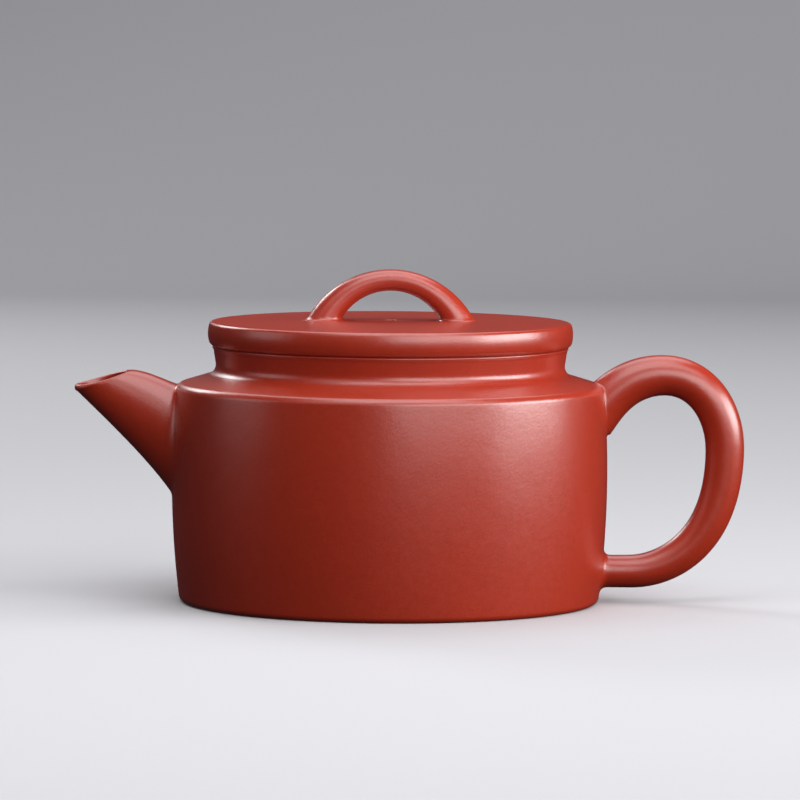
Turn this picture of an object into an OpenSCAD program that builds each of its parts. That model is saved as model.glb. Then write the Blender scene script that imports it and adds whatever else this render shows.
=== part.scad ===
// Yixing clay teapot: a low drum body with a crisp shoulder, a waisted neck, a flat
// overhanging lid with a bridge knob, a short straight spout and a round ear handle.
// Millimetres, +Z up. The origin is on the pot's axis, on the surface it stands on.
// The spout points along -X and the handle along +X.

/* [Body] */
// Widest diameter of the drum
body_d = 92.3; // [88:0.1:115]
// Height of the corner where the wall meets the shoulder
shoulder_h = 46; // [38:0.1:60]
// Radius of the wall's slight outward bow, seen from the side
bow_r = 207; // [150:1:400]
// Height of the wall's widest level, as a share of the shoulder's height
widest_share = 0.58; // [0.4:0.01:0.7]
// Thickness of the wall
wall = 3; // [2.2:0.1:4]
// Thickness of the base
base_t = 3.2; // [2.4:0.1:5]
// Radius of the edge where the wall meets the base
base_edge_r = 1.4; // [0.6:0.1:2]
// Radius of the shoulder's corner
shoulder_edge_r = 1.8; // [0.8:0.1:2.4]
// Thickness of the shoulder plate, measured down from its slope
shoulder_t = 3.4; // [3:0.1:4.5]
// Rise of the shoulder towards the neck, in degrees
shoulder_slope = 17; // [10:1:22]

/* [Neck] */
// Inside diameter of the mouth
mouth_d = 68.4; // [56:0.1:70]
// Thickness of the neck at its waist
neck_t = 2.75; // [2.2:0.05:3.2]
// Height of the mouth's rim above the shoulder plate, at the neck's waist
neck_h = 5.7; // [5.2:0.1:12]
// Radius of the hollow where the neck rises from the shoulder
neck_hollow_r = 2.2; // [1.4:0.1:2.8]
// Outward lean of the neck above its waist, in degrees
neck_lean = 9; // [4:1:14]
// Height of the lip strip round the mouth
lip_h = 1.4; // [1:0.1:2]
// How far the lip strip stands out past the neck
lip_proud = 0.35; // [0.2:0.05:0.8]
// Radius of the lip strip's outer edges
lip_edge_r = 0.4; // [0.2:0.05:0.6]

/* [Lid] */
// How far the lid's edge overhangs the lip strip
lid_overhang = 0.95; // [0.4:0.05:2.5]
// Thickness of the lid's edge
lid_edge_h = 5.1; // [4.4:0.1:7]
// Thickness of the lid plate at its edge
lid_plate_t = 2.9; // [2.4:0.1:3.2]
// Radius of the lid side's outward bow
lid_side_r = 9; // [6:0.5:20]
// Radius of the lid's upper and lower edges
lid_edge_r = 0.9; // [0.5:0.1:1.1]
// Depth of the ring that hangs inside the mouth
flange_depth = 8; // [5:0.5:10]
// Thickness of the ring that hangs inside the mouth
flange_t = 2.2; // [1.6:0.1:3]
// Gap between that ring and the mouth, all round
flange_clearance = 0.25; // [0.15:0.05:0.5]
// Diameter of the air hole
vent_d = 2.4; // [1.5:0.1:4]

/* [Knob] */
// Length of the bridge knob along the lid, foot to foot
knob_span = 36; // [28:0.5:44]
// Height of the bridge above the edge of the lid's top
knob_h = 11.1; // [9:0.1:16]
// Thickness of the bridge at its crown
knob_t = 4.5; // [3:0.1:5]
// Thickness of each leg, along the lid
knob_foot_t = 7.3; // [5.5:0.1:8]
// Width of the bridge at its crown
knob_w = 6; // [4:0.1:9]
// Width of each leg at its foot
knob_foot_w = 8.6; // [6:0.1:12]

/* [Spout] */
// Distance from the wall's widest level out to the spout's tip
spout_reach = 20.65; // [16:0.05:30]
// Height of the tip below the shoulder's corner
spout_tip_drop = 0.4; // [0:0.1:6]
// Length of the opening, from the tip to its rear edge
spout_mouth_l = 12.2; // [9:0.1:15]
// Rise of the opening from the tip to its rear edge, in degrees
spout_mouth_tilt = 15.2; // [5:0.2:25]
// Width of the opening outside
spout_mouth_w = 8.8; // [7:0.1:12]
// Depth of the root below the shoulder's corner, to where the straight underside meets the wall
spout_root_h = 21.7; // [18:0.1:26]
// How far the underside flows on down the wall below that
spout_flow = 4.8; // [2:0.1:6]
// Width of the root
spout_root_w = 18.4; // [16:0.1:24]
// Thickness of the spout's wall at its root
spout_wall = 2.4; // [1.8:0.1:2.8]
// Thickness of the spout's wall at its opening
spout_lip_t = 1.5; // [1.2:0.1:2]

/* [Strainer] */
// Ledge of wall left all round between the spout's channel and the hole for the strainer
strainer_ledge = 0.3; // [0.2:0.1:1.5]
// Thickness of the strainer ball
strainer_t = 1.6; // [1.2:0.1:2]
// Diameter of each strainer hole
strainer_hole_d = 1.8; // [1:0.1:2]

/* [Handle] */
// Distance from the wall's widest level out to the far side of the handle
handle_reach = 29; // [25:0.5:36]
// Height of the handle's top above the shoulder's corner
handle_rise = 6.7; // [2:0.1:12]
// Height of the lower arm's underside
handle_low_z = 3.2; // [2.4:0.1:8]
// Depth of the handle's upper root below the shoulder's corner, inside the wall
handle_root_drop = 7.1; // [6:0.1:9]
// Rise of the handle where it leaves the wall, in degrees
handle_root_lean = 48; // [38:1:52]
// Length of the lower arm's straight part outside the wall
handle_foot_l = 6; // [3:0.1:8]
// Diameter of the handle where it leaves the shoulder
handle_root_d = 10.3; // [8:0.1:12]
// Diameter at the top of the loop
handle_top_d = 8.5; // [7:0.1:10]
// Diameter at the far side of the loop
handle_side_d = 8.2; // [7:0.1:10]
// Diameter of the lower arm
handle_low_d = 6.9; // [5.5:0.1:9]

/* [Hidden] */
clay = [0.62, 0.27, 0.2];
lid_clay = [0.64, 0.29, 0.22];
dark_clay = [0.5, 0.21, 0.16];
$fn = 180;
// How far a cutter runs past what it cuts
past = 2;
// How deep the spout and the handle are modelled into the wall before they are cut to it
sunk = 3.5;
RING_SIDES = 24;
HANDLE_STEPS = 12;
SPOUT_STEPS = 10;
KNOB_STEPS = 24;
// Steps of the arcs that round the drum's two corners, and of its bowed side
EDGE_STEPS = 8;
BOW_STEPS = 18;
// Height of the lid side's widest level, as a share of the edge's thickness
lid_side_share = 0.42;
// Degrees of arc that each leg of the knob is modelled into the lid before it is cut to it
knob_sunk = 12;
// How far the spout's top starts below the shoulder's corner, inside the wall
spout_top_sink = 1;
// Where the spout's top leaves the line from the shoulder to the opening, and where the
// underside leaves and meets the line from its root to the tip, as shares of those lines
spout_top_leave = 0.15;
spout_under_leave = 0.12;
spout_under_meet = 0.43;
// The last stretch of the spout's top, back from the opening's rear edge
spout_top_end = [3.7, 0];
// How far the strainer's axis lies below the middle of the spout's root
strainer_drop = 1;
// Strainer holes round the middle one: how many in each ring, and the ring's angle off the axis
STRAINER_RINGS = [[6, 34], [12, 64]];
// Where the handle's loop is highest, as a share of its reach, and where it stands furthest
// out, as a share of its height
handle_top_share = 0.41;
handle_side_share = 0.6;
// How strongly the loop holds its direction: at its root in mm, before its top as a share of
// its reach, after the top, above the far side and below it as shares of each stretch, and
// before its foot as a share of the foot's length
handle_root_hold = 2.6;
handle_top_hold = 0.33;
handle_round_hold = [0.65, 0.48, 0.96];
handle_foot_hold = 0.16;

body_r = body_d / 2;
mouth_r = mouth_d / 2;
waist_r = mouth_r + neck_t;
// Centre of the wall's bow, in the plane of the profile
widest_z = shoulder_h * widest_share;
bow_c = [body_r - bow_r, widest_z];

// Direction down the shoulder, away from the neck, and the normal to it
down_slope = [cos(shoulder_slope), -sin(shoulder_slope)];
slope_normal = [sin(shoulder_slope), cos(shoulder_slope)];
// The sharp corner that the shoulder's rounded corner replaces
corner = leave([0, shoulder_h], [1, 0], bow_c, bow_r);
// Centres of the rounded shoulder corner and of the rounded base edge
shoulder_edge_c = leave(corner - shoulder_edge_r * slope_normal - 4 * shoulder_edge_r * down_slope,
    down_slope, bow_c, bow_r - shoulder_edge_r);
base_edge_c = leave([0, base_edge_r], [1, 0], bow_c, bow_r - base_edge_r);
mouth_z = slope_z(waist_r) + neck_h;
lid_top_z = mouth_z + lid_edge_h;
// The hollow at the neck's foot touches the waist and the shoulder's slope
hollow_c = [waist_r + neck_hollow_r,
    slope_z(waist_r + neck_hollow_r) + neck_hollow_r / cos(shoulder_slope)];
neck_foot = hollow_c - neck_hollow_r * slope_normal;
neck_top_z = mouth_z - lip_h;
neck_lean_start = hollow_c + neck_hollow_r * [-cos(neck_lean), sin(neck_lean)];
neck_top_r = neck_lean_start[0] + (neck_top_z - neck_lean_start[1]) * tan(neck_lean);
lip_r = neck_top_r + lip_proud;
// The shoulder plate stands on the wall at this height
wall_top_z = corner[1] - shoulder_t;

lid_r = lip_r + lid_overhang;
flange_r = mouth_r - flange_clearance;
lid_seam_z = lid_top_z - lid_plate_t;
lid_side_c = [lid_r - lid_side_r, mouth_z + lid_side_share * lid_edge_h];

// Where the line from p along the unit vector u leaves the circle about c of radius r
function leave(p, u, c, r) =
    let(w = p - c, along = w * u) p + u * (-along + sqrt(along * along - w * w + r * r));
// Where a circle about c of radius r is touched by a smaller one inside it about d
function touch(c, r, d) = c + r * (d - c) / norm(d - c);
function bearing(v) = atan2(v[1], v[0]);
function arc(c, r, from, to, steps) =
    [for (k = [0:steps]) let(a = mix(from, to, k / steps)) c + r * [cos(a), sin(a)]];
// Height of the shoulder's surface at a distance from the axis
function slope_z(r) = corner[1] + (corner[0] - r) * tan(shoulder_slope);
function mix(a, b, t) = a + (b - a) * t;
function bezier(p, t) = pow(1 - t, 3) * p[0] + 3 * pow(1 - t, 2) * t * p[1]
    + 3 * (1 - t) * pow(t, 2) * p[2] + pow(t, 3) * p[3];
function in_3d(p) = [p[0], 0, p[1]];

// One ring of a swept solid: an ellipse between two points of the side outline
function ring(upper, lower, width) =
    let(c = in_3d((upper + lower) / 2), h = in_3d((upper - lower) / 2), w = [0, width / 2, 0])
    [for (i = [0:RING_SIDES - 1]) c + h * cos(i * 360 / RING_SIDES) + w * sin(i * 360 / RING_SIDES)];

// Solid through a list of rings
module loft(rings) {
    n = len(rings[0]);
    last = len(rings) - 1;
    sides = [for (k = [0:last - 1], i = [0:n - 1])
        [k * n + i, (k + 1) * n + i, (k + 1) * n + (i + 1) % n, k * n + (i + 1) % n]];
    start_cap = [for (i = [0:n - 1]) i];
    end_cap = [for (i = [n - 1:-1:0]) last * n + i];
    polyhedron([for (r = rings, p = r) p], concat([start_cap], sides, [end_cap]), convexity = 6);
}

// ---- Turned outlines: right halves, to spin about the axis ----

// Everything between the axis and a bowed side, from height z0 to height z1
module bowed_side(c, r, z0, z1) {
    intersection() {
        translate(c) circle(r);
        translate([0, z0]) square([c[0] + r + past, z1 - z0]);
    }
    if (c[0] > 0) translate([0, z0]) square([c[0], z1 - z0]);
}

// The pot below its neck: rounded base edge, bowed side, rounded corner, sloping shoulder
module body_outline() {
    low = bearing(base_edge_c - bow_c);
    high = bearing(shoulder_edge_c - bow_c);
    polygon(concat([[0, 0]],
        arc(base_edge_c, base_edge_r, -90, low, EDGE_STEPS),
        arc(bow_c, bow_r, low, high, BOW_STEPS),
        arc(shoulder_edge_c, shoulder_edge_r, high, 90 - shoulder_slope, EDGE_STEPS),
        [neck_foot, [0, neck_foot[1]]]));
}

module body_solid() { rotate_extrude() body_outline(); }

// The drum's bowed side alone, carried on above the shoulder and below the base
module drum_solid() { rotate_extrude() bowed_side(bow_c, bow_r, -past, shoulder_h + past); }

// Slice of an outline between two heights and outside an inner radius
module slice(r0, z0, z1) {
    intersection() {
        children();
        translate([r0, z0]) square([body_r + past - r0, z1 - z0]);
    }
}

module lid_outline() {
    upper_c = lid_edge_c(lid_top_z - lid_edge_r);
    lower_c = lid_edge_c(mouth_z + lid_edge_r);
    high = touch(lid_side_c, lid_side_r, upper_c);
    low = touch(lid_side_c, lid_side_r, lower_c);
    bowed_side(lid_side_c, lid_side_r, low[1], high[1]);
    translate([0, mouth_z]) square([lower_c[0], lid_edge_h / 2]);
    translate([0, lid_top_z - lid_edge_h / 2]) square([upper_c[0], lid_edge_h / 2]);
    translate(lower_c) circle(lid_edge_r);
    translate(upper_c) circle(lid_edge_r);
}
function lid_edge_c(z) = leave([0, z], [1, 0], lid_side_c, lid_side_r - lid_edge_r);

// ---- The pot ----

module base_disc() color(dark_clay) {
    rotate_extrude() slice(0, 0, base_t) body_outline();
}

// Space inside the wall, run past its two ends
module wall_inside() {
    r = bow_r - wall;
    z0 = base_t - past;
    z1 = wall_top_z + past;
    polygon(concat([[0, z0]],
        arc(bow_c, r, asin((z0 - bow_c[1]) / r), asin((z1 - bow_c[1]) / r), BOW_STEPS), [[0, z1]]));
}

module body_wall() color(clay) {
    difference() {
        rotate_extrude() difference() {
            slice(0, base_t, wall_top_z) body_outline();
            wall_inside();
        }
        strainer_axis() cylinder(h = 2 * (wall + past), d = strainer_d, center = true);
    }
}

// Slab ring that closes the drum in to the mouth, hollowed below parallel to its slope
module shoulder_plate() color(clay) {
    inner_r = leave([0, wall_top_z], [1, 0], bow_c, bow_r - wall)[0];
    inner_z = neck_foot[1] - shoulder_t;
    rotate_extrude() difference() {
        slice(mouth_r, wall_top_z, neck_foot[1]) body_outline();
        polygon([[0, wall_top_z - past], [inner_r, wall_top_z - past], [inner_r, wall_top_z],
            [mouth_r, inner_z], [0, inner_z]]);
    }
}

module neck_collar() color(clay) {
    rotate_extrude() difference() {
        polygon([[mouth_r, neck_foot[1]], neck_foot, hollow_c, neck_lean_start,
            [neck_top_r, neck_top_z], [mouth_r, neck_top_z]]);
        translate(hollow_c) circle(neck_hollow_r);
    }
}

// Strip round the mouth: its upper face carries the lid
module mouth_lip() color(clay) {
    round_r = min(lip_edge_r, lip_h / 3);
    rotate_extrude() {
        translate([mouth_r, neck_top_z]) square([lip_r - mouth_r - round_r, lip_h]);
        translate([mouth_r, neck_top_z + round_r])
            square([lip_r - mouth_r, lip_h - 2 * round_r]);
        translate([lip_r - round_r, mouth_z - round_r]) circle(round_r);
        translate([lip_r - round_r, neck_top_z + round_r]) circle(round_r);
    }
}

// ---- Spout and strainer ----

spout_tip = [-body_r - spout_reach, shoulder_h - spout_tip_drop];
spout_rear = spout_tip + spout_mouth_l * [cos(spout_mouth_tilt), sin(spout_mouth_tilt)];
spout_low = [-body_r, shoulder_h - spout_root_h];
// Curves of the spout's top and underside in the side view, from inside the wall outwards
spout_top_curve = [[-body_r + sunk, shoulder_h - spout_top_sink],
    mix([-body_r, shoulder_h], spout_rear, spout_top_leave), spout_rear + spout_top_end, spout_rear];
spout_under_curve = [spout_low + [0.6 * sunk, -spout_flow],
    mix(spout_low, spout_tip, spout_under_leave), mix(spout_low, spout_tip, spout_under_meet), spout_tip];

// Ring of the spout at t, with its surface moved inwards by a thickness
function spout_ring(t, inset) =
    let(a = bezier(spout_top_curve, t), b = bezier(spout_under_curve, t),
        u = (a - b) / norm(a - b), width = mix(spout_root_w, spout_mouth_w, pow(max(t, 0), 0.85)))
    ring(a - inset * u, b + inset * u, width - 2 * inset);
function spout_inner_ring(t) = spout_ring(t, mix(spout_wall, spout_lip_t, max(t, 0)));

module spout() color(clay) {
    out = in_3d(past * [-sin(spout_mouth_tilt), cos(spout_mouth_tilt)]);
    difference() {
        loft([for (k = [0:SPOUT_STEPS]) spout_ring(k / SPOUT_STEPS, 0)]);
        drum_solid();
        loft(concat([spout_inner_ring(-0.05)],
            [for (k = [0:SPOUT_STEPS]) spout_inner_ring(k / SPOUT_STEPS)],
            [[for (p = spout_inner_ring(1)) p + out]]));
    }
}

// The strainer's axis lies along X, through the middle of the spout's root
strainer_d = spout_root_w - 2 * (spout_wall + strainer_ledge);
strainer_z = shoulder_h - spout_root_h / 2 - strainer_drop;
strainer_x = -leave([0, strainer_z], [1, 0], bow_c, bow_r - wall)[0];
module strainer_axis() { translate([strainer_x, 0, strainer_z]) rotate([0, 90, 0]) children(); }

// Hollow ball that bulges into the tea, on a short collar that plugs the hole in the wall
module strainer_ball() color(dark_clay) {
    r = strainer_d / 2;
    intersection() {
        drum_solid();
        strainer_axis() difference() {
            rotate_extrude($fn = 72) {
                translate([r - strainer_t, -wall - past]) square([strainer_t, wall + past]);
                intersection() {
                    difference() {
                        circle(r, $fn = 72);
                        circle(r - strainer_t, $fn = 72);
                    }
                    square(r);
                }
            }
            cylinder(h = 2 * r, d = strainer_hole_d, $fn = 36);
            for (ring = STRAINER_RINGS) strainer_holes(ring[0], ring[1]);
        }
    }
}

module strainer_holes(count, tilt) {
    for (i = [0.5:count]) rotate([0, tilt, i * 360 / count])
        translate([0, 0, strainer_d / 4]) cylinder(h = strainer_d, d = strainer_hole_d, $fn = 36);
}

// ---- Handle ----

handle_root = [body_r - sunk, shoulder_h - handle_root_drop];
handle_top = [body_r + handle_top_share * handle_reach, shoulder_h + handle_rise - handle_top_d / 2];
handle_side = [body_r + handle_reach - handle_side_d / 2,
    mix(handle_low_z, shoulder_h + handle_rise, handle_side_share)];
handle_low = [body_r + handle_foot_l, handle_low_z + handle_low_d / 2];
handle_end = handle_low - [handle_foot_l + sunk, 0];
handle_leave = [cos(handle_root_lean), sin(handle_root_lean)];
// Centre line of the ear: up out of the shoulder, over the top, down and back to the foot
handle_curves = [
    [handle_root, handle_root + handle_root_hold * handle_leave,
        handle_top - [handle_top_hold * handle_reach, 0], handle_top],
    [handle_top, mix(handle_top, [handle_side[0], handle_top[1]], handle_round_hold[0]),
        mix(handle_side, [handle_side[0], handle_top[1]], handle_round_hold[1]), handle_side],
    [handle_side, mix(handle_side, [handle_side[0], handle_low[1]], handle_round_hold[2]),
        handle_low + [handle_foot_hold * handle_foot_l, 0], handle_low],
    [handle_low, mix(handle_low, handle_end, 1 / 3), mix(handle_low, handle_end, 2 / 3), handle_end]];
handle_ds = [handle_root_d, handle_top_d, handle_side_d, handle_low_d, handle_low_d];

function handle_point(s) = let(k = min(floor(s), 3)) bezier(handle_curves[k], s - k);
function handle_ring(s) =
    let(k = min(floor(s), 3), d = mix(handle_ds[k], handle_ds[k + 1], s - k),
        step = handle_point(min(s + 0.02, 4)) - handle_point(max(s - 0.02, 0)),
        n = [-step[1], step[0]] / norm(step), p = handle_point(s))
    ring(p + n * d / 2, p - n * d / 2, d);

module handle() color(clay) {
    arcs = [for (k = [0:3 * HANDLE_STEPS]) k / HANDLE_STEPS];
    difference() {
        loft([for (s = concat(arcs, [3.5, 4])) handle_ring(s)]);
        body_solid();
    }
}

// ---- The lid ----

// Flat disc with an air hole under the bridge
module lid_plate() color(lid_clay) {
    difference() {
        rotate_extrude() slice(0, lid_seam_z, lid_top_z) lid_outline();
        translate([0, 0, lid_seam_z - past]) cylinder(h = lid_plate_t + 2 * past, d = vent_d);
    }
}

// Ring that thickens the plate's edge and rests on the mouth
module lid_rim_band() color(lid_clay) {
    rotate_extrude() slice(flange_r - flange_t, mouth_z, lid_seam_z) lid_outline();
}

// Ring that hangs inside the mouth and keeps the lid on centre
module lid_flange() color(lid_clay) {
    translate([0, 0, mouth_z - flange_depth]) difference() {
        cylinder(h = flange_depth, r = flange_r);
        translate([0, 0, -past]) cylinder(h = flange_depth + 2 * past, r = flange_r - flange_t);
    }
}

// Arched grip: the crown's outer and inner outlines are arcs, each through three points
knob_arcs = [arc_through(knob_span / 2, knob_h),
    arc_through(knob_span / 2 - knob_foot_t, knob_h - knob_t)];
// Centre height above the lid's top and radius of the arc with a half span and a height
function arc_through(half, height) =
    let(r = (half * half + height * height) / (2 * height)) [height - r, r];
function knob_ring(a) =
    let(dir = [cos(a), sin(a)], base = [0, lid_top_z], up = pow(abs(cos(a)), 2),
        p = base + [0, knob_arcs[0][0]] + knob_arcs[0][1] * dir,
        q = base + [0, knob_arcs[1][0]] + knob_arcs[1][1] * dir)
    ring(p, q, mix(knob_w, knob_foot_w, up));

module bridge_knob() color(lid_clay) {
    foot_a = asin(-knob_arcs[0][0] / knob_arcs[0][1]) - knob_sunk;
    difference() {
        loft([for (k = [0:KNOB_STEPS]) knob_ring(foot_a + k * (180 - 2 * foot_a) / KNOB_STEPS)]);
        translate([-knob_span, -knob_span, lid_top_z - knob_span])
            cube([2 * knob_span, 2 * knob_span, knob_span]);
    }
}

base_disc();
body_wall();
shoulder_plate();
neck_collar();
mouth_lip();
spout();
strainer_ball();
handle();
lid_plate();
lid_rim_band();
lid_flange();
bridge_knob();
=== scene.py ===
"""Yixing clay teapot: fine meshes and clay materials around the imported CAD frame.

Outlines are worked out in millimetres, in the row frame, and turned into metres when a mesh
is made. The spout points along -X and the handle along +X, and the camera is on the -Y side.
"""
import math

import bmesh
import bpy
import numpy as np
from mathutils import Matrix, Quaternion, Vector


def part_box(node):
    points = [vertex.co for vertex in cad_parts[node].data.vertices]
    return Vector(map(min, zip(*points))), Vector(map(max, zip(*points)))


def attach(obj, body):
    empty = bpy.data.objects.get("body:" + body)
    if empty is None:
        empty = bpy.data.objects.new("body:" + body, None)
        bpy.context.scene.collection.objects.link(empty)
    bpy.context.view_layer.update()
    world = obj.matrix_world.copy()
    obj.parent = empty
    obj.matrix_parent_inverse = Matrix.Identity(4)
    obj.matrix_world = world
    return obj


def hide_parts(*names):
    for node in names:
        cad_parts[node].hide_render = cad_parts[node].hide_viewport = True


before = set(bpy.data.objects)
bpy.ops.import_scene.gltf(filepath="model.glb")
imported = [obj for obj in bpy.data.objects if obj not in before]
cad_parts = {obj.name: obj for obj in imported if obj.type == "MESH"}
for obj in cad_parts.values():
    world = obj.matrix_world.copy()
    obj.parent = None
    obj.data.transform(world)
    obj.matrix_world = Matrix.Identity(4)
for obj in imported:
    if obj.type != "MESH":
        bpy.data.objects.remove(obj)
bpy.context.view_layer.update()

MM = 0.001
SEGMENTS = 288            # round a turned piece
STEP = 0.35               # mm between outline points, about
FINE = 0.12               # and on the small rounds of edges


# ---- Sizes ----------------------------------------------------------------------------------

def low(node):
    return np.array(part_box(node)[0]) / MM


def high(node):
    return np.array(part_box(node)[1]) / MM


def reach(node):
    """Largest radius of a turned node."""
    return float(max(np.abs(low(node)[:2]).max(), np.abs(high(node)[:2]).max()))


BODY_R = reach("body_wall")
BOW_R = 207.0             # outward bow of the wall, seen from the side
WIDEST = 26.7             # height of its widest level
BASE_EDGE = 1.4
SHOULDER_EDGE = 1.8
SLOPE = 17.0              # rise of the shoulder, in degrees
WALL = 3.0
MOUTH_R = 34.2
SHOULDER_H = 46.0         # height where the shoulder's slope would meet the wall
SHOULDER_T = 3.4
HOLLOW = 2.2              # hollow at the neck's foot
LEAN = 9.0                # outward lean of the neck, in degrees

SEAM_BASE = float(low("body_wall")[2])
SEAM_WALL = float(high("body_wall")[2])
SEAM_NECK = float(low("neck_collar")[2])
SEAM_LIP = float(low("mouth_lip")[2])
MOUTH_Z = float(high("mouth_lip")[2])
LIP_R = reach("mouth_lip")
LID_R = reach("lid_plate")
LID_SEAM = float(low("lid_plate")[2])
LID_TOP = float(high("lid_plate")[2])
FLANGE_R = reach("lid_flange")
FLANGE_LOW = float(low("lid_flange")[2])
FLANGE_T = 2.2
SPOUT_DROP = 0.4          # depth of the spout's tip below the shoulder's height
SPOUT_TILT = 15.2         # slant of the spout's mouth, in degrees
SPOUT_MOUTH_L = 12.2      # length of that mouth, seen from the side
SPOUT_ROOT_H = 21.7
SPOUT_ROOT_W = 18.4       # widths across the view
SPOUT_TIP_W = 8.8
HANDLE_ROOT_DROP = 7.1    # depth of the upper root's middle below the shoulder's height
HANDLE_LEAN = 48.0        # rise of the bar as it leaves that root, in degrees
HANDLE_FOOT_L = 6.0       # straight stretch at the lower root
ROOT_D, TOP_D, SIDE_D, LOW_D = 10.3, 8.5, 8.2, 6.9    # thickness of the bar along its way
SUNK = 3.5                # depth to which a limb runs into the wall
CROWN = 0.4               # rise of the lid's top at its middle
VENT_R = 1.2
VENT_EDGE = 0.25
KNOB_T = 4.5
KNOB_FOOT_L = 7.3         # length of a foot, seen from the side
KNOB_W = 6.0              # widths across the view, on top and at the feet
KNOB_FOOT_W = 8.6
KNOB_TOP = float(high("bridge_knob")[2])
KNOB_HALF = float(high("bridge_knob")[0])


# ---- Outlines -------------------------------------------------------------------------------

def mix(a, b, t):
    return a + (b - a) * t


def unit(v):
    return v / np.maximum(np.linalg.norm(v, axis=-1, keepdims=True), 1e-12)


def leave(p, u, c, r):
    """Where the line from p along the unit vector u leaves the circle about c of radius r."""
    w = np.subtract(p, c)
    along = w @ u
    return p + u * (-along + math.sqrt(along * along - w @ w + r * r))


def heading(degrees):
    a = math.radians(degrees)
    return np.array([math.cos(a), math.sin(a)])


def arc(c, r, a0, a1, step=STEP):
    """Points of an arc from angle a0 to a1, in degrees."""
    n = max(4, math.ceil(abs(math.radians(a1 - a0)) * r / step))
    a = np.radians(np.linspace(a0, a1, n + 1))
    return np.array(c) + r * np.stack([np.cos(a), np.sin(a)], 1)


def line(p, q, step=STEP * 3):
    n = max(1, math.ceil(np.linalg.norm(np.subtract(q, p)) / step))
    return mix(np.array(p, float), np.array(q, float), np.linspace(0, 1, n + 1)[:, None])


def bearing(v):
    return math.degrees(math.atan2(v[1], v[0]))


def quadratic(p, q, r, t):
    """Curve from p to r that leaves towards q and arrives from it."""
    return (1 - t) ** 2 * p + 2 * t * (1 - t) * q + t ** 2 * r


def join(*parts):
    """One run of points from several, without doubled ones."""
    out = []
    for part in parts:
        for p in np.atleast_2d(part):
            if not out or np.hypot(*(p - out[-1])) > 1e-6:
                out.append(np.array(p, float))
    return np.array(out)


def cut(outline, z0, z1):
    """The stretch of a rising outline between two heights."""
    z = outline[:, 1]
    def at(h):
        k = int(np.argmax(z >= h)) if (z >= h).any() else len(z) - 1
        k = max(k, 1)
        t = (h - z[k - 1]) / max(z[k] - z[k - 1], 1e-9)
        return mix(outline[k - 1], outline[k], min(max(t, 0), 1))
    inside = outline[(z > z0 + 1e-6) & (z < z1 - 1e-6)]
    return join(at(z0), inside, at(z1))


def pot_outline():
    """Outside of the pot from the edge of its base to the foot of the lip strip."""
    down = heading(-SLOPE)
    up = np.array([-down[1], down[0]])
    bow_c = np.array([BODY_R - BOW_R, WIDEST])
    hollow_c = np.array([reach("neck_collar"), SEAM_NECK]) + HOLLOW * up
    edge_c = leave(hollow_c - (HOLLOW + SHOULDER_EDGE) * up, down, bow_c, BOW_R - SHOULDER_EDGE)
    base_c = leave(np.array([0, BASE_EDGE]), np.array([1.0, 0]), bow_c, BOW_R - BASE_EDGE)
    low_a, high_a = bearing(base_c - bow_c), bearing(edge_c - bow_c)
    lean_a = 180 - LEAN
    lean_start = hollow_c + HOLLOW * heading(lean_a)
    top = lean_start + (SEAM_LIP - lean_start[1]) * np.array([math.tan(math.radians(LEAN)), 1])
    return join(arc(base_c, BASE_EDGE, -90, low_a, FINE), arc(bow_c, BOW_R, low_a, high_a, step=0.8),
                arc(edge_c, SHOULDER_EDGE, high_a, 90 - SLOPE, FINE),
                arc(hollow_c, HOLLOW, 270 - SLOPE, lean_a, step=0.2), line(lean_start, top))


def lid_outline():
    """Outside of the lid from the mouth's rim to the air hole, over its slightly domed top."""
    side_r, upper, lower = 7.0, 0.9, 1.25          # radii of the edge's bow and its two rounds
    widest = mix(MOUTH_Z, LID_TOP, 0.52)
    side_c = np.array([LID_R - side_r, widest])
    flat = np.array([1.0, 0])
    up_c = leave(np.array([0, LID_TOP - upper]), flat, side_c, side_r - upper)
    low_c = leave(np.array([0, MOUTH_Z + lower]), flat, side_c, side_r - lower)
    low_a, high_a = bearing(low_c - side_c), bearing(up_c - side_c)
    dome_r = (up_c[0] ** 2 + CROWN ** 2) / (2 * CROWN)
    dome_c = np.array([0, LID_TOP + CROWN - dome_r])
    rim_a = bearing(np.array([up_c[0], LID_TOP]) - dome_c)
    vent_a = bearing(np.array([VENT_R + VENT_EDGE, LID_TOP + CROWN]) - dome_c)
    vent_c = dome_c + (dome_r - VENT_EDGE) * unit(np.array([VENT_R + VENT_EDGE, dome_r]))
    return join(arc(low_c, lower, -90, low_a, FINE), arc(side_c, side_r, low_a, high_a, step=0.3),
                arc(up_c, upper, high_a, 90, FINE), arc(dome_c, dome_r, rim_a, vent_a, step=1.2),
                arc(vent_c, VENT_EDGE, 90, 180, step=0.08))


# ---- Meshes ---------------------------------------------------------------------------------

def build(name, verts, faces, grain, sharp=()):
    """Mesh object from points in mm. grain holds, for each face corner, its place on the
    unrolled surface in mm, and sharp the pairs of vertices whose edge shows as a corner."""
    mesh = bpy.data.meshes.new(name)
    mesh.from_pydata([tuple(float(c) * MM for c in v) for v in verts], [], faces)
    mesh.polygons.foreach_set("use_smooth", [True] * len(mesh.polygons))
    layer = mesh.attributes.new("grain", "FLOAT_VECTOR", "CORNER")
    layer.data.foreach_set("vector", np.asarray(grain, float).ravel())
    if len(sharp):
        wanted = {tuple(sorted(e)) for e in sharp}
        flags = [tuple(sorted(e.vertices)) in wanted for e in mesh.edges]
        mesh.attributes.new("sharp_edge", "BOOLEAN", "EDGE").data.foreach_set("value", flags)
    obj = bpy.data.objects.new(name, mesh)
    bpy.context.scene.collection.objects.link(obj)
    bm = bmesh.new()
    bm.from_mesh(mesh)
    bmesh.ops.recalc_face_normals(bm, faces=bm.faces)
    bm.to_mesh(mesh)
    bm.free()
    mesh.update()
    return obj


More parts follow.
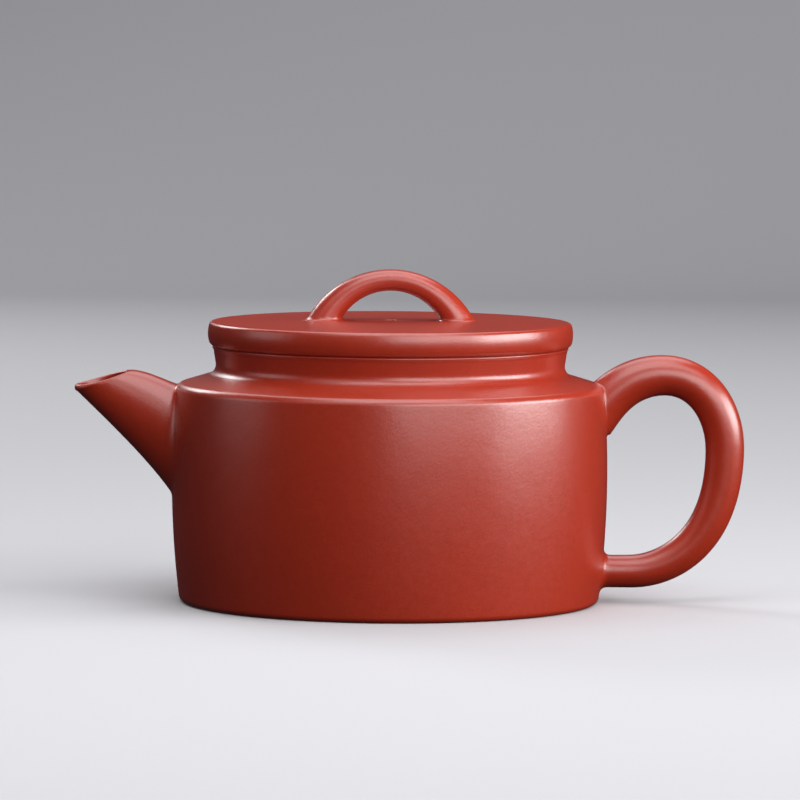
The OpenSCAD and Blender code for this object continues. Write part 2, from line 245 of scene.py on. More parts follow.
def turned(loop, corners=(), window=None):
    """Ring or disc made by turning a closed outline about the axis. corners are points of the
    outline that show as sharp edges. An outline that touches the axis makes a disc. window says
    which faces are left out."""
    n, seg = len(loop), SEGMENTS
    closed = np.vstack([loop, loop[:1]])
    length = np.concatenate([[0], np.cumsum(np.hypot(*np.diff(closed, axis=0).T))])
    turn = np.linspace(0, 2 * math.pi, seg, endpoint=False)
    verts, index = [], []
    for r, z in loop:
        if r < 1e-6:
            index.append([len(verts)] * seg)
            verts.append((0, 0, z))
        else:
            index.append(list(range(len(verts), len(verts) + seg)))
            verts += [(r * math.cos(a), r * math.sin(a), z) for a in turn]
    faces, grain = [], []
    for k in range(n):
        k2 = (k + 1) % n
        if loop[k][0] < 1e-6 and loop[k2][0] < 1e-6:
            continue
        flat = abs(loop[k2][1] - loop[k][1]) < abs(loop[k2][0] - loop[k][0])
        for j in range(seg):
            if window is not None and window(k, k2, j):
                continue
            j2 = (j + 1) % seg
            quad = [(k, j, j), (k, j2, j + 1), (k2, j2, j + 1), (k2, j, j)]
            face, spots = [], []
            for row, col, count in quad:
                v = index[row][col]
                if v in face:
                    continue
                face.append(v)
                run = length[k] if row == k else length[k + 1]
                x, y, _ = verts[v]
                spots.append((x, y, 0) if flat else (count * 2 * math.pi / seg * BODY_R, run, 0))
            faces.append(face)
            grain += spots
    sharp = []
    for c in corners:
        k = int(np.argmin(np.hypot(*(loop - np.array(c)).T)))
        sharp += [(index[k][j], index[k][(j + 1) % seg]) for j in range(seg)]
    return verts, faces, grain, sharp, index


def turned_piece(name, loop, corners=()):
    verts, faces, grain, sharp, _ = turned(loop, corners)
    return build(name, verts, faces, grain, sharp)


def tube(name, rings, loop=False):
    """Closed mesh through rings of equal length. loop joins the last ring to the first,
    otherwise both ends are capped."""
    rings = np.asarray(rings)
    count, n = rings.shape[:2]
    verts = rings.reshape(-1, 3)
    along = np.linalg.norm(np.diff(rings, axis=0), axis=2).mean(1)
    run = np.concatenate([[0], np.cumsum(along)])
    around = np.linalg.norm(np.roll(rings, -1, axis=1) - rings, axis=2).sum(1).mean()
    faces, grain = [], []
    for k in range(count if loop else count - 1):
        k2 = (k + 1) % count
        for i in range(n):
            i2 = (i + 1) % n
            faces.append([k * n + i, k * n + i2, k2 * n + i2, k2 * n + i])
            u0, u1 = run[k], run[k] + (along[k] if k < len(along) else 1)
            v0, v1 = i / n * around, (i + 1) / n * around
            grain += [(u0, v0, 0), (u0, v1, 0), (u1, v1, 0), (u1, v0, 0)]
    sharp = []
    if not loop:
        for k in (0, count - 1):
            ring = [k * n + i for i in range(n)]
            faces.append(ring)
            grain += [(0, 0, 0)] * n
            sharp += list(zip(ring, ring[1:] + ring[:1]))
    return build(name, verts, faces, grain, sharp)


class Surface:
    """A surface of revolution, from its outline, for points outside it to be dropped on."""

    def __init__(self, outline):
        self.a, self.b = outline[:-1], outline[1:]
        t = unit(self.b - self.a)
        self.n = np.stack([t[:, 1], -t[:, 0]], 1)

    def near(self, p):
        """Nearest points, normals there, and distances outwards."""
        p = np.asarray(p, float)
        flat = p.reshape(-1, 3)
        r = np.hypot(flat[:, 0], flat[:, 1])
        q = np.stack([r, flat[:, 2]], 1)[:, None]
        d = self.b - self.a
        t = np.clip(((q - self.a) * d).sum(2) / (d * d).sum(1), 0, 1)
        on = self.a + t[..., None] * d
        gap = np.linalg.norm(q - on, axis=2)
        k = gap.argmin(1)
        rows = np.arange(len(k))
        on, nrm, gap = on[rows, k], self.n[k], gap[rows, k]
        gap = gap * np.sign(((q[:, 0] - on) * nrm).sum(1))
        way = flat[:, :2] / np.maximum(r, 1e-9)[:, None]
        point = np.column_stack([way * on[:, :1], on[:, 1]])
        normal = np.column_stack([way * nrm[:, :1], nrm[:, 1]])
        shape = p.shape
        return point.reshape(shape), normal.reshape(shape), gap.reshape(shape[:-1])


def row_at(gaps, level):
    """Fractional row at which each column's distance from the surface falls to its level."""
    level = np.broadcast_to(level, gaps.shape[1])
    out = np.zeros(gaps.shape[1])
    for i in range(gaps.shape[1]):
        above = np.nonzero(gaps[:, i] > level[i])[0]
        k = min(above[-1] if len(above) else 0, len(gaps) - 2)
        g0, g1 = gaps[k, i], gaps[k + 1, i]
        out[i] = k + min(max((g0 - level[i]) / max(g0 - g1, 1e-9), 0), 1)
    return out


def sample(columns, s):
    """Points of each column at fractional row numbers s, of shape (rows, columns)."""
    k = np.clip(np.floor(s).astype(int), 0, columns.shape[0] - 2)
    i = np.broadcast_to(np.arange(columns.shape[1]), s.shape)
    t = (s - k)[..., None]
    return columns[k, i] * (1 - t) + columns[k + 1, i] * t


def smooth_ring(values, rounds):
    for _ in range(rounds):
        values = 0.5 * values + 0.25 * (np.roll(values, 1, axis=0) + np.roll(values, -1, axis=0))
    return values


def rooted(rings, surface, rise, spread, rows, fillet_rows=10, sink=0.5):
    """Limb that runs from a free end into a surface: its rings down to the fillet, the fillet's
    rings, which flow on to the surface, and a last ring below the surface. rise and spread are
    the fillet's reach up the limb and out over the surface, one for all columns or one each."""
    gaps = surface.near(rings)[2]
    meet = row_at(gaps, 0.0)
    start = np.minimum(smooth_ring(row_at(gaps, rise), 2), meet - 0.02)
    body = sample(rings, np.linspace(0, 1, rows)[:, None] * start)
    corner, normal, _ = surface.near(sample(rings, meet[None])[0])
    ahead = np.roll(corner, -1, axis=0) - np.roll(corner, 1, axis=0)
    out = unit(np.cross(ahead, normal))
    if ((corner - corner.mean(0)) * out).sum() < 0:
        out = -out
    out = unit(smooth_ring(out, 3))
    reach_out = np.broadcast_to(spread, len(corner))[:, None]
    end = surface.near(corner + reach_out * out)[0]
    t = np.linspace(0, 1, fillet_rows + 1)[1:, None, None]
    fillet = quadratic(body[-1], corner, end, t)
    on, normal, gap = surface.near(fillet)
    floor = 0.012 * (1 - t[..., 0] ** 2) - 0.004    # clear of the surface until its last ring
    fillet = np.where((gap < floor)[..., None], on + normal * floor[..., None], fillet)
    on, normal, _ = surface.near(fillet[-1])
    return np.concatenate([body, fillet, (on - sink * normal)[None]])


# ---- The pot --------------------------------------------------------------------------------

OUTSIDE = pot_outline()
POT = Surface(OUTSIDE)


def inner_bow():
    """Inside of the wall, from the base up to the shoulder plate, with its luted fillet."""
    bow_c = np.array([BODY_R - BOW_R, WIDEST])
    r = BOW_R - WALL
    luting = 2.4                  # radius of the fillet
    c = leave(np.array([0, SEAM_BASE + luting]), np.array([1.0, 0]), bow_c, r - luting)
    low_a, high_a = bearing(c - bow_c), math.degrees(math.asin((SEAM_WALL - WIDEST) / r))
    return join(arc(c, luting, -90, low_a, step=0.3), arc(bow_c, r, low_a, high_a, step=1.2))


def under_shoulder():
    """Underside of the shoulder plate, from the wall to the mouth."""
    edge, bend_r = inner_bow()[-1], 1.5
    top = SEAM_NECK - SHOULDER_T
    bend = arc([MOUTH_R + bend_r, top + bend_r], bend_r, 270, 180, step=0.25)
    return join(line(edge, bend[0]), bend)


def make_base():
    edge = cut(OUTSIDE, 0, SEAM_BASE)
    loop = join([0, 0], line([0, 0], edge[0], 3), edge, line(edge[-1], [0, SEAM_BASE], 3), [0, SEAM_BASE])
    return turned_piece("base_disc_clay", loop, [edge[-1]])


def make_wall():
    """The drum wall, with a round hole for the strainer. A window of the turned faces is left
    out, and the gap is closed up to the hole's two rims and along the hole between them."""
    outer, inner = cut(OUTSIDE, SEAM_BASE, SEAM_WALL), inner_bow()
    loop = join(outer, inner[::-1])
    corners = [outer[0], outer[-1], inner[-1], inner[0]]
    lo, hi = low("strainer_ball"), high("strainer_ball")
    hole_r, hole_z = (hi[1] - lo[1]) / 2, (hi[2] + lo[2]) / 2
    side_room, level_room = 1.2, 2.2          # wall that is left out around the hole
    half = math.ceil((hole_r + side_room) / (2 * math.pi * BODY_R / SEGMENTS))
    mid = SEGMENTS // 2
    lowest, highest = hole_z - hole_r - level_room, hole_z + hole_r + level_room

    def window(k, k2, j):
        za, zb = loop[k][1], loop[k2][1]
        level = abs(za - zb) < 1e-6
        within = min(za, zb) > lowest and max(za, zb) < highest
        return mid - half <= j < mid + half and within and not level

    verts, faces, grain, sharp, index = turned(loop, corners, window)
    cols = list(range(mid - half, mid + half + 1))
    rims = []
    for edge, rows in ((outer, range(len(outer))), (inner, range(len(outer), len(loop)))):
        rows = sorted((k for k in rows if lowest < loop[k][1] < highest), key=lambda k: loop[k][1])
        border = ([index[rows[0]][j] for j in cols] + [index[k][cols[-1]] for k in rows[1:]]
                  + [index[rows[-1]][j] for j in reversed(cols[:-1])]
                  + [index[k][cols[0]] for k in reversed(rows[1:-1])])
        rim = []
        for v in border:
            a = math.atan2(verts[v][2] - hole_z, verts[v][1])
            y, z = hole_r * math.cos(a), hole_z + hole_r * math.sin(a)
            r = float(np.interp(z, edge[:, 1], edge[:, 0]))
            rim.append(len(verts))
            verts.append((-math.sqrt(r * r - y * y), y, z))
        rims.append(rim)
        for v, v2, w2, w in zip(border, border[1:] + border[:1], rim[1:] + rim[:1], rim):
            faces.append([v, v2, w2, w])
            grain += [(verts[c][1], verts[c][2], 0) for c in faces[-1]]
        sharp += list(zip(rim, rim[1:] + rim[:1]))
    bridge(*rims, verts, faces, grain, hole_z)
    return build("body_wall_clay", verts, faces, grain, sharp)


def bridge(a_ring, b_ring, verts, faces, grain, mid_z):
    """Triangles between two rings of points, which may differ in number, round the hole."""
    def turn(v):
        return math.atan2(verts[v][2] - mid_z, verts[v][1]) % (2 * math.pi)

    a = sorted(a_ring, key=turn)
    b = sorted(b_ring, key=turn)
    ta, tb = [turn(v) for v in a], [turn(v) for v in b]
    i = j = 0
    while i < len(a) or j < len(b):
        next_a = ta[i + 1] if i + 1 < len(a) else ta[0] + 2 * math.pi
        next_b = tb[j + 1] if j + 1 < len(b) else tb[0] + 2 * math.pi
        if j >= len(b) or (i < len(a) and next_a <= next_b):
            tri = [a[i % len(a)], a[(i + 1) % len(a)], b[j % len(b)]]
            i += 1
        else:
            tri = [a[i % len(a)], b[(j + 1) % len(b)], b[j % len(b)]]
            j += 1
        faces.append(tri)
        grain += [(verts[v][1], verts[v][2], 0) for v in tri]


def make_shoulder():
    outer, inner = cut(OUTSIDE, SEAM_WALL, SEAM_NECK), under_shoulder()
    loop = join(outer, [MOUTH_R, SEAM_NECK], inner[::-1])
    return turned_piece("shoulder_clay", loop, [outer[0], outer[-1], [MOUTH_R, SEAM_NECK], inner[0]])


def make_neck():
    outer = cut(OUTSIDE, SEAM_NECK, SEAM_LIP)
    loop = join(outer, [MOUTH_R, SEAM_LIP], line([MOUTH_R, SEAM_LIP], [MOUTH_R, SEAM_NECK]))
    return turned_piece("neck_clay", loop, [outer[0], outer[-1], [MOUTH_R, SEAM_LIP], [MOUTH_R, SEAM_NECK]])


def make_lip():
    """A thin bead at the rim whose outside runs down into the neck."""
    crest, inside = 0.4, 0.5      # radii of the bead's round and of the edge inside it
    foot = cut(OUTSIDE, SEAM_NECK, SEAM_LIP)[-1]
    bulge = np.array([LIP_R, MOUTH_Z - crest])
    waist = np.array([foot[0] + 0.06, MOUTH_Z - 2 * crest])
    flow = quadratic(foot, waist, bulge, np.linspace(0, 1, 9)[:, None])
    loop = join([MOUTH_R, SEAM_LIP], flow,
                arc([LIP_R - crest, MOUTH_Z - crest], crest, 0, 90, step=0.08),
                arc([MOUTH_R + inside, MOUTH_Z - inside], inside, 90, 180, step=0.1))
    return turned_piece("mouth_lip_clay", loop, [[MOUTH_R, SEAM_LIP], foot])


# ---- Spout ----------------------------------------------------------------------------------

def bezier(p, t):
    """Cubic curve through the first and last of four points."""
    t = np.asarray(t)[..., None]
    return ((1 - t) ** 3 * p[0] + 3 * (1 - t) ** 2 * t * p[1] + 3 * (1 - t) * t ** 2 * p[2] + t ** 3 * p[3])


def ellipses(upper, lower, width, sides, power=1.0):
    """Rings between points of a side outline, in the XZ plane, with their widths along Y."""
    a = np.linspace(0, 2 * math.pi, sides, endpoint=False)
    c, h = (upper + lower) / 2, (upper - lower) / 2
    side = np.sign(np.sin(a)) * np.abs(np.sin(a)) ** power
    top = np.sign(np.cos(a)) * np.abs(np.cos(a)) ** power
    xz = c[:, None] + h[:, None] * top[None, :, None]
    y = np.asarray(width)[:, None] / 2 * side
    return np.stack([xz[..., 0], y, xz[..., 1]], 2)


def spout_curves():
    """Top and underside of the spout in the side view, from inside the wall to the mouth. The
    two middle points of each set how it bows."""
    tip = np.array([low("spout")[0], SHOULDER_H - SPOUT_DROP])
    rear = tip + SPOUT_MOUTH_L * heading(SPOUT_TILT)
    root_top = np.array([-BODY_R, SHOULDER_H])
    root_low = root_top - [0, SPOUT_ROOT_H]
    top = [root_top + [SUNK, -1.0], mix(root_top, rear, 0.15), rear + [3.7, 0], rear]
    under = [root_low + [0.6 * SUNK, -4.8], mix(root_low, tip, 0.12), mix(root_low, tip, 0.43),
             tip - [0, 0.9]]
    return top, under


def spout_rings(inset_root, inset_mouth, sides):
    """Rings from the mouth to inside the wall, inset by the spout's wall for its channel."""
    top, under = spout_curves()
    steps, beyond = 60, 0.02                  # beyond the curves' ends in the wall
    t = np.linspace(1, -beyond, steps)
    a, b = bezier(top, t), bezier(under, t)
    u = unit(a - b)
    inset = mix(inset_root, inset_mouth, np.clip(t, 0, 1))
    width = mix(SPOUT_ROOT_W, SPOUT_TIP_W, np.clip(t, 0, 1) ** 0.85)
    return ellipses(a - inset[:, None] * u, b + inset[:, None] * u, width - 2 * inset, sides)


def make_spout():
    """Outside from the rounded rim to the root, then the channel back to the rim."""
    sides, wall_root, wall_mouth = 96, 2.4, 1.1
    outer = spout_rings(0, 0, sides)
    inner = spout_rings(wall_root, wall_mouth, sides)
    tilt = math.radians(SPOUT_TILT)
    up = np.array([-math.sin(tilt), 0, math.cos(tilt)])
    a = np.linspace(0, 2 * math.pi, sides, endpoint=False)[:, None]
    hand_cut = 0.22 * np.sin(a) - 0.2    # the rim on the far side stands a little higher
    outer[0] += hand_cut * up
    inner[0] += hand_cut * up
    crest = 0.25 + 0.75 * ((1 - np.cos(a)) / 2) ** 3    # the rim is blunter at the tip
    body = rooted(outer, POT, spout_fillet(sides, 0.5, 1.6), spout_fillet(sides, 0.8, 1.3), 44, 12)
    end = row_at(POT.near(inner)[2], -0.5)
    channel = sample(inner, np.linspace(1, 0, 30)[:, None] * end)
    turn = np.linspace(math.pi, 0, 13)[1:-1, None, None]
    middle, half = (outer[0] + inner[0]) / 2, (outer[0] - inner[0]) / 2
    lip = middle + half * np.cos(turn) + crest * up * np.sin(turn) ** 0.8
    return tube("spout_clay", np.concatenate([body, channel, lip]), loop=True)


def spout_fillet(sides, least, more):
    """Size of the root's fillet round the spout: small on top and below, larger at the sides."""
    a = np.linspace(0, 2 * math.pi, sides, endpoint=False)
    return least + more * np.abs(np.sin(a)) ** 1.5


# ---- Handle ---------------------------------------------------------------------------------

def evenly(points, values, step):
    """The same line with its points one step apart, and its values there."""
    run = np.concatenate([[0], np.cumsum(np.linalg.norm(np.diff(points, axis=0), axis=1))])
    spots = np.linspace(0, run[-1], math.ceil(run[-1] / step) + 1)
    even = [np.interp(spots, run, points[:, k]) for k in range(points.shape[1])]
    return np.stack(even, 1), np.interp(spots, run, values)


def ease_line(values, rounds):
    """Smooths a run of values and leaves both ends where they are."""
    for _ in range(rounds):
        values[1:-1] = 0.5 * values[1:-1] + 0.25 * (values[:-2] + values[2:])
    return values


def handle_centre():
    """Centre line of the ear and its diameter, from inside the shoulder to inside the foot."""
    out, lowest, peak = high("handle")[0] - BODY_R, low("handle")[2], high("handle")[2]
    top_share, side_share = 0.41, 0.6         # where it peaks and where it reaches farthest
    root = np.array([BODY_R - SUNK, SHOULDER_H - HANDLE_ROOT_DROP])
    top = np.array([BODY_R + top_share * out, peak - TOP_D / 2])
    side = np.array([BODY_R + out - SIDE_D / 2, mix(lowest, peak, side_share)])
    base = np.array([BODY_R + HANDLE_FOOT_L, lowest + LOW_D / 2])
    end = base - [HANDLE_FOOT_L + SUNK, 0]
    above, below = np.array([side[0], top[1]]), np.array([side[0], base[1]])
    curves = [
        [root, root + 2.6 * heading(HANDLE_LEAN), top - [0.33 * out, 0], top],
        [top, mix(top, above, 0.65), mix(side, above, 0.48), side],
        [side, mix(side, below, 0.96), base + [0.16 * HANDLE_FOOT_L, 0], base],
        [base, mix(base, end, 1 / 3), mix(base, end, 2 / 3), end]]
    sizes = [ROOT_D, TOP_D, SIDE_D, LOW_D, LOW_D]
    points, widths = [], []
    for k, curve in enumerate(curves):
        t = np.linspace(0, 1, 200)[(1 if k else 0):]
        points.append(bezier(curve, t))
        widths.append(mix(sizes[k], sizes[k + 1], t))
    p, d = evenly(np.concatenate(points), np.concatenate(widths), 0.7)
    return ease_line(p, 8), ease_line(d, 30)


def make_handle():
    sides = 64
    p, d = handle_centre()
    ahead = np.gradient(p, axis=0)
    n = unit(np.stack([-ahead[:, 1], ahead[:, 0]], 1))
    rings = ellipses(p + n * d[:, None] / 2, p - n * d[:, None] / 2, d, sides)
    middle = len(rings) // 2
    upper = rooted(rings[middle::-1], POT, 0.6, 0.7, rows=100)
    lower = rooted(rings[middle:], POT, 1.6, 1.7, rows=90)
    return tube("handle_clay", np.concatenate([upper[::-1], lower[1:]]))


# ---- Lid ------------------------------------------------------------------------------------

LID = lid_outline()


def rising(outline):
    """The part of the lid's outline up to where its top begins, which only rises."""
    k = int(np.argmax(outline[:, 1] >= LID_TOP - 1e-4))
    return outline[:k + 1]


def make_lid_band():
    outer = cut(rising(LID), MOUTH_Z, LID_SEAM)
    inner_r = FLANGE_R - FLANGE_T
    loop = join(outer, [inner_r, LID_SEAM], line([inner_r, LID_SEAM], [inner_r, MOUTH_Z]),
                line([inner_r, MOUTH_Z], outer[0]))
    return turned_piece("lid_band_clay", loop, [outer[-1], [inner_r, LID_SEAM], [inner_r, MOUTH_Z]])


def make_lid_plate():
    side = cut(rising(LID), LID_SEAM, LID_TOP)
    top = LID[len(rising(LID)):]
    hole = np.array([VENT_R, LID_SEAM])
    loop = join(side, top, line(top[-1], hole), line(hole, side[0], 2.5))
    return turned_piece("lid_plate_clay", loop, [side[0], hole])


def make_flange():
    r0, r1, edge = FLANGE_R - FLANGE_T, FLANGE_R, 0.6
    loop = join([r0, MOUTH_Z], line([r0, MOUTH_Z], [r0, FLANGE_LOW + edge]),
                arc([r0 + edge, FLANGE_LOW + edge], edge, 180, 270, FINE),
                arc([r1 - edge, FLANGE_LOW + edge], edge, 270, 360, FINE),
                line([r1, FLANGE_LOW + edge], [r1, MOUTH_Z]))
    return turned_piece("lid_flange_clay", loop, [[r0, MOUTH_Z], [r1, MOUTH_Z]])


def make_knob():
    """Bridge between two arcs, its right half rooted on the lid and mirrored to the left."""
    sides, rise = 48, KNOB_TOP - LID_TOP

    def through(half, height):
        r = (half * half + height * height) / (2 * height)
        return np.array([0, LID_TOP + height - r]), r

    c0, r0 = through(KNOB_HALF, rise)
    c1, r1 = through(KNOB_HALF - KNOB_FOOT_L, rise - KNOB_T)
    sunk, blunt = 12, 0.92                    # degrees run on below the lid's top, and shape
    a_foot = math.degrees(math.asin((LID_TOP - c0[1]) / r0)) - sunk
    a = np.radians(np.linspace(90, a_foot, 60))
    way = np.stack([np.cos(a), np.sin(a)], 1)
    w = mix(KNOB_W, KNOB_FOOT_W, np.cos(a) ** 2)
    right = ellipses(c0 + r0 * way, c1 + r1 * way, w, sides, blunt)
    top = Surface(LID[len(rising(LID)) - 1:-4])
    half = rooted(right, top, 0.9, 0.8, rows=46, fillet_rows=8, sink=0.4)
    left = half * [-1, 1, 1]
    return tube("bridge_knob_clay", np.concatenate([left[::-1], half[1:]]))


# ---- Materials ------------------------------------------------------------------------------

MOTTLE, SWELL, MEDIUM_GRAIN, FINE_GRAIN = 70, 110, 700, 2400      # patterns per metre
SPECKS = 850
STROKE_TILT = 35          # degrees up to the right
STROKE_LENGTH = 1.6       # mm
STROKE_WIDTH = 0.35       # mm


class Graph:
    """Short names for making and wiring shader nodes."""

    def __init__(self, name):
        self.mat = bpy.data.materials.new(name)
        self.mat.use_nodes = True
        self.tree = self.mat.node_tree
        self.shader = self.tree.nodes["Principled BSDF"]

    def node(self, kind, **settings):
        made = self.tree.nodes.new(kind)
        for key, value in settings.items():
            setattr(made, key, value)
        return made

    def link(self, a, b):
        self.tree.links.new(a, b)
        return a

    def math(self, how, a, b=0.0, c=0.0, clamp=False):
        made = self.node("ShaderNodeMath", operation=how, use_clamp=clamp)
        for socket, value in zip(made.inputs, (a, b, c)):
            if isinstance(value, (int, float)):
                socket.default_value = value
            else:
                self.link(value, socket)
        return made.outputs[0]

    def noise(self, where, scale, detail=2.0, rough=0.5):
        made = self.node("ShaderNodeTexNoise")
        made.inputs["Scale"].default_value = scale
        made.inputs["Detail"].default_value = detail
        made.inputs["Roughness"].default_value = rough
        self.link(where, made.inputs["Vector"])
        return made.outputs["Fac"]

    def spread(self, value, low_in, high_in, low_out=0.0, high_out=1.0):
        made = self.node("ShaderNodeMapRange")
        for socket, number in zip(made.inputs[1:5], (low_in, high_in, low_out, high_out)):
            socket.default_value = number
        self.link(value, made.inputs["Value"])
        return made.outputs["Result"]

    def about_zero(self, noise):
        """A noise's usual range spread over -0.5 to 0.5."""
        return self.spread(noise, 0.3, 0.7, -0.5, 0.5)


def clay_colour(g, colour, place, medium, fine):
    """Mottled colour with fine light and dark grain and pale specks."""
    mottle = g.about_zero(g.noise(place, MOTTLE, 3.0, 0.55))
    tone = g.math("MULTIPLY_ADD", g.about_zero(medium), 0.25, g.math("MULTIPLY", mottle, 0.18))
    tone = g.math("MULTIPLY_ADD", g.about_zero(fine), 0.5, tone)
    ramp = g.node("ShaderNodeMix", data_type="RGBA")
    ramp.inputs["A"].default_value = (*[c * 0.86 for c in colour], 1)
    ramp.inputs["B"].default_value = (*[min(1, c * 1.14) for c in colour], 1)
    g.link(g.math("ADD", tone, 0.5, clamp=True), ramp.inputs["Factor"])
    specks = g.node("ShaderNodeTexVoronoi", feature="F1")
    specks.inputs["Scale"].default_value = SPECKS
    g.link(place, specks.inputs["Vector"])
    dot = g.spread(specks.outputs["Distance"], 0.16, 0.05)
    chosen = g.spread(specks.outputs["Color"], 0.55, 0.75)
    specked = g.node("ShaderNodeMix", data_type="RGBA")
    g.link(g.math("MULTIPLY", g.math("MULTIPLY", dot, chosen), 0.35), specked.inputs["Factor"])
    g.link(ramp.outputs["Result"], specked.inputs["A"])
    red, green, blue = colour
    specked.inputs["B"].default_value = (red * 1.5, green * 2.6, blue * 3.2, 1)
    return specked.outputs["Result"]


def stroke_pattern(g):
    """Slanting strokes of the burnishing tool, from -0.5 to 0.5."""
    grain = g.node("ShaderNodeAttribute", attribute_name="grain").outputs["Vector"]
    turn = g.node("ShaderNodeMapping", vector_type="TEXTURE")
    turn.inputs["Rotation"].default_value = (0, 0, math.radians(STROKE_TILT))
    turn.inputs["Scale"].default_value = (STROKE_LENGTH, STROKE_WIDTH, 1)
    g.link(grain, turn.inputs["Vector"])
    return g.spread(g.noise(turn.outputs["Vector"], 1.0, 1.0, 0.5), 0.4, 0.6, -0.5, 0.5)


def clay(name, colour, roughness=0.31, strokes=1.0, shine=1.0):
    """Zisha clay. strokes sets how strong its burnishing strokes are."""
    g = Graph(name)
    place = g.node("ShaderNodeTexCoord").outputs["Object"]
    fine = g.noise(place, FINE_GRAIN, 2.0, 0.6)
    medium = g.noise(place, MEDIUM_GRAIN, 3.0, 0.6)
    stroke = stroke_pattern(g)
    g.link(clay_colour(g, colour, place, medium, fine), g.shader.inputs["Base Color"])
    rough = g.math("MULTIPLY_ADD", stroke, -0.024 * strokes, roughness)
    rough = g.math("MULTIPLY_ADD", g.about_zero(medium), 0.02, rough)
    g.link(rough, g.shader.inputs["Roughness"])
    g.shader.inputs["Specular IOR Level"].default_value = shine
    height = g.math("MULTIPLY", stroke, 0.003 * strokes)
    for pattern, depth in ((fine, 0.012), (medium, 0.02), (g.noise(place, SWELL, 1.0), 0.06)):
        height = g.math("MULTIPLY_ADD", g.math("SUBTRACT", pattern, 0.5), depth, height)
    bump = g.node("ShaderNodeBump")
    bump.inputs["Strength"].default_value = 1.0
    bump.inputs["Distance"].default_value = MM
    g.link(height, bump.inputs["Height"])
    g.link(bump.outputs["Normal"], g.shader.inputs["Normal"])
    return g.mat


# ---- Stage ----------------------------------------------------------------------------------

POT_MIDDLE = Vector((0, 0, 0.035))
CAMERA_AT = (0.0021, -1.275, 0.139)
CAMERA_AIM = (0.0021, 0.0, 0.04275)
CAMERA_LENS = 271.6       # mm on a sensor 36 mm wide
CAMERA_ROLL = 0.4         # degrees


def add_floor():
    """Pale floor that curves up into the backdrop behind the pot."""
    near, far, wide, bend, top = -1.6, 1.6, 3.0, 0.5, 2.6
    side = [(near, 0.0)] + [(far - bend + bend * math.sin(a), bend - bend * math.cos(a))
                            for a in np.radians(np.linspace(0, 90, 25))] + [(far, top)]
    verts = [(x, y, z) for x in (-wide, wide) for y, z in side]
    n = len(side)
    faces = [(k, k + 1, n + k + 1, n + k) for k in range(n - 1)]
    mesh = bpy.data.meshes.new("floor")
    mesh.from_pydata(verts, [], faces)
    mesh.polygons.foreach_set("use_smooth", [True] * len(faces))
    obj = bpy.data.objects.new("floor", mesh)
    bpy.context.scene.collection.objects.link(obj)
    mat = bpy.data.materials.new("floor_paper")
    mat.use_nodes = True
    shader = mat.node_tree.nodes["Principled BSDF"]
    shader.inputs["Base Color"].default_value = (0.56, 0.56, 0.58, 1)
    shader.inputs["Roughness"].default_value = 0.8
    mesh.materials.append(mat)
    obj.visible_glossy = False
    obj.visible_diffuse = False


def soft_box(name, azimuth, elevation, size, power, colour=(1, 1, 1), away=1.25):
    """Soft box aimed at the pot. Azimuth 0 is the camera's side and 90 the handle's."""
    a, e = math.radians(azimuth), math.radians(elevation)
    way = Vector((math.sin(a) * math.cos(e), -math.cos(a) * math.cos(e), math.sin(e)))
    data = bpy.data.lights.new(name, "AREA")
    data.shape = "RECTANGLE"
    data.size, data.size_y = size
    data.energy = power
    data.color = colour
    obj = bpy.data.objects.new(name, data)
    obj.location = POT_MIDDLE + away * way
    obj.rotation_euler = (-way).to_track_quat("-Z", "Y").to_euler()
    bpy.context.scene.collection.objects.link(obj)


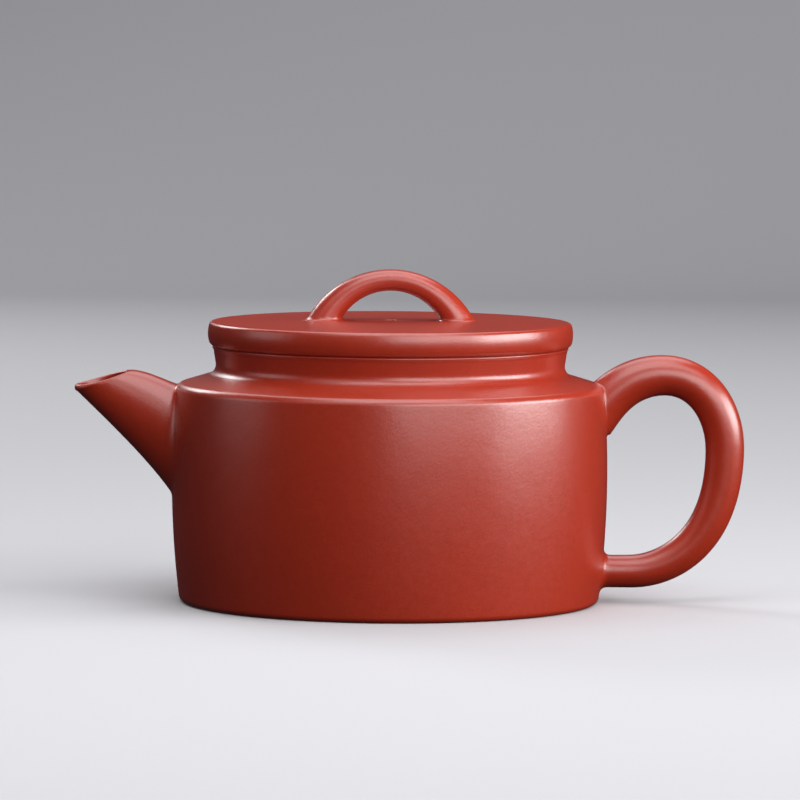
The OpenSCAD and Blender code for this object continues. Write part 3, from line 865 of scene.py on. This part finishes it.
def add_lights():
    soft_box("key_right", 80, 14.5, (1.03, 0.46), 15.5)
    soft_box("front_right", 27, 21, (1.2, 0.7), 9.3)
    soft_box("upper_right", 55, 52, (0.5, 0.45), 1.6)
    soft_box("front_left", -30, 45, (0.43, 0.38), 0.4, away=0.6)
    soft_box("overhead_front", 5, 74, (0.32, 0.34), 0.95, (0.98, 0.98, 1), away=0.4)
    soft_box("overhead_back", 180, 60, (1.1, 0.75), 6.0, (0.97, 0.97, 1))
    soft_box("rim_back_left", -147, 28, (0.42, 0.36), 3.6)
    soft_box("fill_left", -85, 17, (0.65, 0.6), 1.35, (0.96, 0.97, 1))
    world = bpy.data.worlds.new("studio")
    world.use_nodes = True
    sky = world.node_tree.nodes["Background"]
    sky.inputs["Color"].default_value = (0.77, 0.77, 1, 1)
    sky.inputs["Strength"].default_value = 0.025
    bpy.context.scene.world = world


def add_camera():
    """At the photograph's distance and height, with its slight roll."""
    data = bpy.data.cameras.new("camera")
    data.sensor_width = 36
    data.lens = CAMERA_LENS
    data.clip_start, data.clip_end = 0.05, 20
    obj = bpy.data.objects.new("camera", data)
    bpy.context.scene.collection.objects.link(obj)
    obj.location = CAMERA_AT
    aim = (Vector(CAMERA_AIM) - Vector(CAMERA_AT)).to_track_quat("-Z", "Y")
    obj.rotation_mode = "QUATERNION"
    obj.rotation_quaternion = aim @ Quaternion((0, 0, 1), math.radians(CAMERA_ROLL))
    bpy.context.scene.camera = obj


# ---- The scene ------------------------------------------------------------------------------

ZISHA = (0.36, 0.025, 0.0075)             # linear light
PIECES = [
    # maker, CAD node that it replaces, body, the record's slot
    (make_base, "base_disc", "pot", "clay_base"),
    (make_wall, "body_wall", "pot", "clay_pot"),
    (make_shoulder, "shoulder_plate", "pot", "clay_pot"),
    (make_neck, "neck_collar", "pot", "clay_pot"),
    (make_lip, "mouth_lip", "pot", "clay_pot"),
    (make_spout, "spout", "pot", "clay_spout"),
    (make_handle, "handle", "pot", "clay_handle"),
    (make_lid_band, "lid_rim_band", "lid", "clay_lid"),
    (make_lid_plate, "lid_plate", "lid", "clay_lid"),
    (make_flange, "lid_flange", "lid", "clay_lid"),
    (make_knob, "bridge_knob", "lid", "clay_knob")]


def main():
    bpy.context.scene.view_settings.view_transform = "Standard"
    pot_clay = clay("zisha_burnished", ZISHA)
    raw_clay = clay("zisha_unburnished", [c * 0.95 for c in ZISHA], roughness=0.62, strokes=0.2,
                    shine=0.35)
    for maker, node, body, slot in PIECES:
        obj = maker()
        obj.data.materials.append(raw_clay if node == "lid_flange" else pot_clay)
        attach(obj, body)
        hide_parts(node)
    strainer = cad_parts["strainer_ball"]
    strainer.data.materials.clear()
    strainer.data.materials.append(raw_clay)
    add_floor()
    add_lights()
    add_camera()


main()
